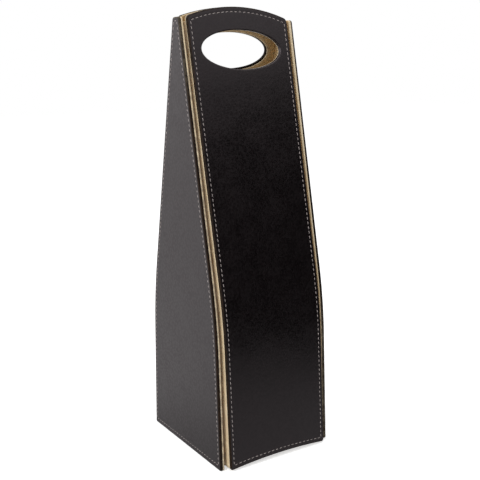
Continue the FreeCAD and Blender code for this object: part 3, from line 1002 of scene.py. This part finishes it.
def makeHinge():
    turn = hingeLook["turn"]
    baseSteps, turnSteps, leafSteps = hingeLook["steps"]
    corner = bentDepth(bentPanel, hingeLevel + turn, leafDepth)
    path = linePoints((-stripHigh.y, hingeLevel), (corner - turn, hingeLevel), baseSteps)
    path += arcPoints((corner - turn, hingeLevel + turn), turn, -rightAngle, 0, turnSteps)
    for _, height in linePoints((0, hingeLevel + turn), (0, leafTop), leafSteps) + [(0, leafTop)]:
        path.append((bentDepth(bentPanel, height, leafDepth), height))
    profile = hingeProfile(stripHigh.x, hingeLook["thickness"] / 2)
    points = []
    rim = []
    for index, (depth, height) in enumerate(path):
        before = path[max(index - 1, 0)]
        after = path[min(index + 1, len(path) - 1)]
        along = Vector((after[0] - before[0], after[1] - before[1])).normalized()
        face = Vector((-along.y, along.x))  # up from the base, then in from the door
        atEnd = index in (0, len(path) - 1)
        for across, lift in profile:
            place = Vector((across, -(depth + face.x * lift), height + face.y * lift))
            points.append(place * millimetre)
            rim.append(1.0 if atEnd or abs(across) > stripHigh.x - hingeLook["rim"] else 0.0)
    faces = tubeFaces(len(points), len(profile))
    piece = meshObject("suedeHinge", points, faces, [hingeSuede], {"rim": rim})
    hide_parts("hinge_strip", "door_hinge_leaf")
    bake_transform(piece)


makeHinge()
print("base and hinge made")


# Boards and magnets keep their own nodes

boards = [f"{name}_board" for name in ("door", "back", "left", "right", "base")]
magnets = ["door_magnets", "back_magnets"]
for material, kept in ((fibreBoard, boards), (nickel, magnets)):
    for node in kept:
        nodes[node].data.materials.clear()
        nodes[node].data.materials.append(material)


# Stitches: thread laid along paths on the panels

stitch = {
    "pitch": 4.2,
    "length": 3.0,
    "radius": 0.27,
    "rise": 0.7,
    "sink": 0.4,
    "slant": 5.0,  # degrees from the path
    "slantSpread": (0.4, 1.6),
    "sizeSpread": (0.93, 1.05),
    "bends": 6,
    "sides": 6,
    "seed": 7,
}


def spreadNode(tree, seed, spread):
    # sockets 2 and 3 are the least and the most of a single number, and 1 is the number going out
    low, high = spread
    inputs = {"Seed": seed, 2: low, 3: high}
    return addNode(tree, "FunctionNodeRandomValue", inputs, data_type="FLOAT").outputs[1]


def threadLoop(tree, given):
    # one stitch: a round thread that rises from the leather and dives back, marked along and around
    halfLength = times(tree, given["Length"], 0.5)
    backLength = times(tree, given["Length"], -0.5)
    below = times(tree, given["Sink"], -1.0)
    start = firstOut(tree, "ShaderNodeCombineXYZ", {"X": backLength, "Z": below})
    middle = firstOut(tree, "ShaderNodeCombineXYZ", {"Z": given["Rise"]})
    end = firstOut(tree, "ShaderNodeCombineXYZ", {"X": halfLength, "Z": below})
    bend = {"Resolution": stitch["bends"], "Start": start, "Middle": middle, "End": end}
    arc = firstOut(tree, "GeometryNodeCurveQuadraticBezier", bend)
    section = {"Resolution": stitch["sides"], "Radius": given["Radius"]}
    circle = firstOut(tree, "GeometryNodeCurvePrimitiveCircle", section)
    share = tree.nodes.new("GeometryNodeSplineParameter").outputs["Factor"]
    marked = {}
    for name, curve in (("along", arc), ("around", circle)):
        mark = {"Geometry": curve, "Name": name, "Value": share}
        kind = "GeometryNodeStoreNamedAttribute"
        marked[name] = firstOut(tree, kind, mark, domain="POINT", data_type="FLOAT")
    swept = {"Curve": marked["along"], "Profile Curve": marked["around"], "Fill Caps": True}
    tube = firstOut(tree, "GeometryNodeCurveToMesh", swept)
    return firstOut(tree, "GeometryNodeSetShadeSmooth", {"Geometry": tube})


def makeStitchTree():
    tree = bpy.data.node_groups.new("stitchRow", "GeometryNodeTree")
    sockets = {name: "Float" for name in ("Pitch", "Length", "Radius", "Rise", "Sink", "Slant")}
    sockets = {"Geometry": "Geometry", **sockets, "Seed": "Int", "Thread": "Material"}
    for name, kind in sockets.items():
        tree.interface.new_socket(name, in_out="INPUT", socket_type=f"NodeSocket{kind}")
    tree.interface.new_socket("Geometry", in_out="OUTPUT", socket_type="NodeSocketGeometry")
    given = tree.nodes.new("NodeGroupInput").outputs
    result = tree.nodes.new("NodeGroupOutput")

    # rows stop half a pitch short of their corners
    rows = firstOut(tree, "GeometryNodeMeshToCurve", {"Mesh": given["Geometry"]})
    total = tree.nodes.new("GeometryNodeSplineLength").outputs["Length"]
    spare = mathNode(tree, "DIVIDE", times(tree, given["Pitch"], 0.5), total)
    ends = {"Curve": rows, "Start": spare, "End": mathNode(tree, "SUBTRACT", 1.0, spare)}
    trimmed = firstOut(tree, "GeometryNodeTrimCurve", ends, mode="FACTOR")
    spacing = {"Curve": trimmed, "Length": given["Pitch"]}
    spaced = firstOut(tree, "GeometryNodeResampleCurve", spacing, mode="LENGTH")

    # each stitch lies along its row, stands away from the surface and leans a little
    tangent = tree.nodes.new("GeometryNodeInputTangent").outputs[0]
    kind = "GeometryNodeInputNamedAttribute"
    outward = firstOut(tree, kind, {"Name": "outward"}, data_type="FLOAT_VECTOR")
    along = firstOut(tree, "FunctionNodeAlignRotationToVector", {"Vector": tangent}, axis="X")
    stand = {"Rotation": along, "Vector": outward}
    upright = firstOut(tree, "FunctionNodeAlignRotationToVector", stand, axis="Z", pivot_axis="X")
    lean = times(tree, given["Slant"], spreadNode(tree, given["Seed"], stitch["slantSpread"]))
    sideways = {"Axis": (0.0, 0.0, 1.0), "Angle": lean}
    slant = firstOut(tree, "FunctionNodeAxisAngleToRotation", sideways)
    turn = {"Rotation": upright, "Rotate By": slant}
    turned = firstOut(tree, "FunctionNodeRotateRotation", turn, rotation_space="LOCAL")
    placing = {"Points": spaced, "Instance": threadLoop(tree, given), "Rotation": turned,
               "Scale": spreadNode(tree, given["Seed"], stitch["sizeSpread"])}
    placed = firstOut(tree, "GeometryNodeInstanceOnPoints", placing)
    real = firstOut(tree, "GeometryNodeRealizeInstances", {"Geometry": placed})
    dressed = firstOut(tree, "GeometryNodeSetMaterial", {"Geometry": real, "Material": given["Thread"]})
    tree.links.new(dressed, result.inputs[0])
    return tree


stitchTree = makeStitchTree()


class StitchPaths:
    # edges with a direction away from the surface at each point

    def __init__(self):
        self.points = []
        self.outward = []
        self.edges = []

    def add(self, points, normals):
        start = len(self.points)
        self.points += points
        self.outward += normals
        self.edges += [(start + index, start + index + 1) for index in range(len(points) - 1)]

    def sew(self, name, body):
        mesh = bpy.data.meshes.new(name)
        mesh.from_pydata(self.points, self.edges, [])
        layer = mesh.attributes.new("outward", "FLOAT_VECTOR", "POINT")
        layer.data.foreach_set("vector", [value for normal in self.outward for value in normal])
        guide = addObject(f"{name}Guide", mesh)
        modifier = guide.modifiers.new("stitchRow", "NODES")
        modifier.node_group = stitchTree
        values = {"Slant": math.radians(stitch["slant"]), "Seed": stitch["seed"], "Thread": thread}
        for size in ("pitch", "length", "radius", "rise", "sink"):
            values[size.capitalize()] = stitch[size] * millimetre
        for socket in stitchTree.interface.items_tree:
            if socket.in_out == "INPUT" and socket.name in values:
                modifier[socket.identifier] = values[socket.name]
        graph = bpy.context.evaluated_depsgraph_get()
        sewn = bpy.data.meshes.new_from_object(guide.evaluated_get(graph), depsgraph=graph)
        bpy.data.objects.remove(guide)
        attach(addObject(name, sewn), body)
        print(name, "stitch faces:", len(sewn.polygons))


def borderRows(paths, panel, depth, facing):
    # four rows round a panel's border, parted at its corners
    points = panel["outline"](cover["stitchInset"])
    foot, corner, edge, shoulder, _ = panel["steps"]
    low = foot + corner // 2
    high = foot + corner + edge + shoulder // 2
    count = len(points)
    marks = [low, high, count - high, count - low, count + low]
    for first, last in zip(marks, marks[1:]):
        row = [points[index % count] for index in range(first, last + 1)]
        normals = [panel["normal"](point) * facing for point in row]
        paths.add([panel["place"](point, depth) for point in row], normals)


def hingeRows(doorPaths, carrierPaths):
    # one row on the door's leaf and one on the base, across the strip
    lift = hingeLook["thickness"] / 2
    reach = stripHigh.x - hingeLook["sewn"]
    height = leafTop - hingeLook["sewn"]
    row = [(-reach, height), (reach, height)]
    leaf = [bentPlace(door, point, leafDepth + lift) for point in row]
    doorPaths.add(leaf, [-bentNormal(door, point) for point in row])
    y = stripHigh.y - hingeLook["sewn"]
    strip = [Vector((across, y, hingeLevel + lift)) * millimetre for across in (-reach, reach)]
    carrierPaths.add(strip, [Vector((0, 0, 1))] * 2)


paths = {"front_door": StitchPaths(), "carrier": StitchPaths()}
for panel in panels.values():
    for depth, facing in panel["sewn"]:
        borderRows(paths[panel["body"]], panel, depth, facing)
hingeRows(paths["front_door"], paths["carrier"])
paths["front_door"].sew("doorStitches", "front_door")
paths["carrier"].sew("carrierStitches", "carrier")


# Stage: floor, a dark card and a grey mat, sky, lamps and camera

stageLook = {
    "floorSize": 12.0,
    "floorShade": 0.82,
    "floorGlow": 0.56,
    "skyLight": 0.62,
    "cardDistance": 0.24,
    "cardHeight": 1.6,
    "cardWidth": 1.2,
    "cardLift": 0.015,
    "cardShine": 0.57,  # how bright the card is above the heights where it pales
    "cardFade": (0.40, 0.475),
    "cardAway": (0.55, -0.83),
    "matSize": 11.0,
    "matLift": 0.0004,
    "matCentre": (0.115, -0.185, 0.0),
    "matNear": 0.34,  # how bright the mat looks at its centre, and how it pales outwards
    "matFar": 0.72,
    "matFade": (0.17, 0.46),
}


def flatCard(name, corners, material):
    mesh = bpy.data.meshes.new(name)
    mesh.from_pydata(corners, [], [tuple(range(len(corners)))])
    mesh.materials.append(material)
    card = addObject(name, mesh)
    return card


def levelSquare(size, lift):
    half = size / 2
    return [(-half, -half, lift), (half, -half, lift), (half, half, lift), (-half, half, lift)]


def shownRays(tree):
    # rays that should meet a white background: straight from the camera, mirrored or refracted
    rays = tree.nodes.new("ShaderNodeLightPath").outputs
    seen = mathNode(tree, "MAXIMUM", rays["Is Camera Ray"], rays["Is Glossy Ray"])
    return mathNode(tree, "MAXIMUM", seen, rays["Is Transmission Ray"])


def makeFloor():
    material = bpy.data.materials.new("paleFloor")
    tree = emptyTree(material)
    shade = stageLook["floorShade"]
    matt = firstOut(tree, "ShaderNodeBsdfDiffuse", {"Color": (shade, shade, shade, 1.0)})
    level = times(tree, shownRays(tree), stageLook["floorGlow"])
    glow = firstOut(tree, "ShaderNodeEmission", {"Strength": level})
    showShader(tree, addNode(tree, "ShaderNodeAddShader", {0: matt, 1: glow}))
    flatCard("floor", levelSquare(stageLook["floorSize"], 0), material)


def makeGlossCard(name, corners, levelAt):
    # a glowing card that shows only in the leather's gloss
    material = bpy.data.materials.new(name)
    tree = emptyTree(material)
    place = tree.nodes.new("ShaderNodeTexCoord").outputs["Object"]
    showShader(tree, addNode(tree, "ShaderNodeEmission", {"Strength": levelAt(tree, place)}))
    card = flatCard(name, corners, material)
    card.visible_camera = False
    card.visible_diffuse = False
    card.visible_transmission = False
    card.visible_shadow = False


def makeDarkCard():
    # stands beside the camera, before the door
    def levelAt(tree, place):
        height = addNode(tree, "ShaderNodeSeparateXYZ", {0: place}).outputs["Z"]
        return rampNode(tree, height, 0.0, stageLook["cardShine"], *stageLook["cardFade"])

    away = Vector((*stageLook["cardAway"], 0)).normalized()
    along = Vector((-away.y, away.x, 0)) * stageLook["cardWidth"] / 2
    start = Vector((0, -bentPanel["footDepth"] * millimetre, stageLook["cardLift"]))
    foot = start + away * stageLook["cardDistance"]
    rise = Vector((0, 0, stageLook["cardHeight"]))
    corners = [foot - along, foot + along, foot + along + rise, foot - along + rise]
    makeGlossCard("darkCard", corners, levelAt)


def makeGreyMat():
    # lies on the floor round the foot
    def levelAt(tree, place):
        ends = {0: place, 1: stageLook["matCentre"]}
        reach = addNode(tree, "ShaderNodeVectorMath", ends, operation="DISTANCE").outputs["Value"]
        return rampNode(tree, reach, stageLook["matNear"], stageLook["matFar"], *stageLook["matFade"])

    makeGlossCard("greyMat", levelSquare(stageLook["matSize"], stageLook["matLift"]), levelAt)


def makeSky():
    world = bpy.data.worlds.new("studio")
    bpy.context.scene.world = world
    tree = emptyTree(world)
    level = rampNode(tree, shownRays(tree), stageLook["skyLight"], 1.0)
    sky = addNode(tree, "ShaderNodeBackground", {"Color": (1.0, 1.0, 1.0, 1.0), "Strength": level})
    showShader(tree, sky, "World")


lampAim = (0, 0, 0.2)
lamps = {
    "keyBox": {"place": (-1.6, -0.45, 1.2), "size": 1.1, "power": 19.0},
    "topBox": {"place": (0.2, 0.2, 2.0), "size": 1.4, "power": 10.0},
}


def makeLamps():
    for name, lamp in lamps.items():
        light = bpy.data.lights.new(name, "AREA")
        light.size = lamp["size"]
        light.energy = lamp["power"]
        holder = addObject(name, light)
        holder.location = lamp["place"]
        holder.rotation_euler = (Vector(lampAim) - holder.location).to_track_quat("-Z", "Y").to_euler()


cameraView = {
    "eye": (-374.455, -589.034, 335.177),
    "turn": -32.6806,
    "tilt": 12.0261,
    "roll": -0.5710,
    "focal": 780.90,  # in pixels of a picture this wide
    "picture": 480.0,
    "sensor": 36.0,
    "nearest": 0.01,  # metres
}


def makeCamera():
    turn, tilt, roll = (math.radians(cameraView[name]) for name in ("turn", "tilt", "roll"))
    ahead = -Vector((math.sin(turn) * math.cos(tilt), -math.cos(turn) * math.cos(tilt), math.sin(tilt)))
    level = ahead.cross(Vector((0, 0, 1))).normalized()
    upright = level.cross(ahead)
    right = level * math.cos(roll) + upright * math.sin(roll)
    up = upright * math.cos(roll) - level * math.sin(roll)
    data = bpy.data.cameras.new("camera")
    data.sensor_width = cameraView["sensor"]
    data.lens = cameraView["focal"] / cameraView["picture"] * cameraView["sensor"]
    data.clip_start = cameraView["nearest"]
    camera = addObject("camera", data)
    facing = Matrix((right, up, -ahead)).transposed().to_4x4()
    camera.matrix_world = Matrix.Translation(Vector(cameraView["eye"]) * millimetre) @ facing
    bpy.context.scene.camera = camera


makeFloor()
makeDarkCard()
makeGreyMat()
makeSky()
makeLamps()
makeCamera()
bpy.context.scene.view_settings.view_transform = "Standard"
print("stage set")
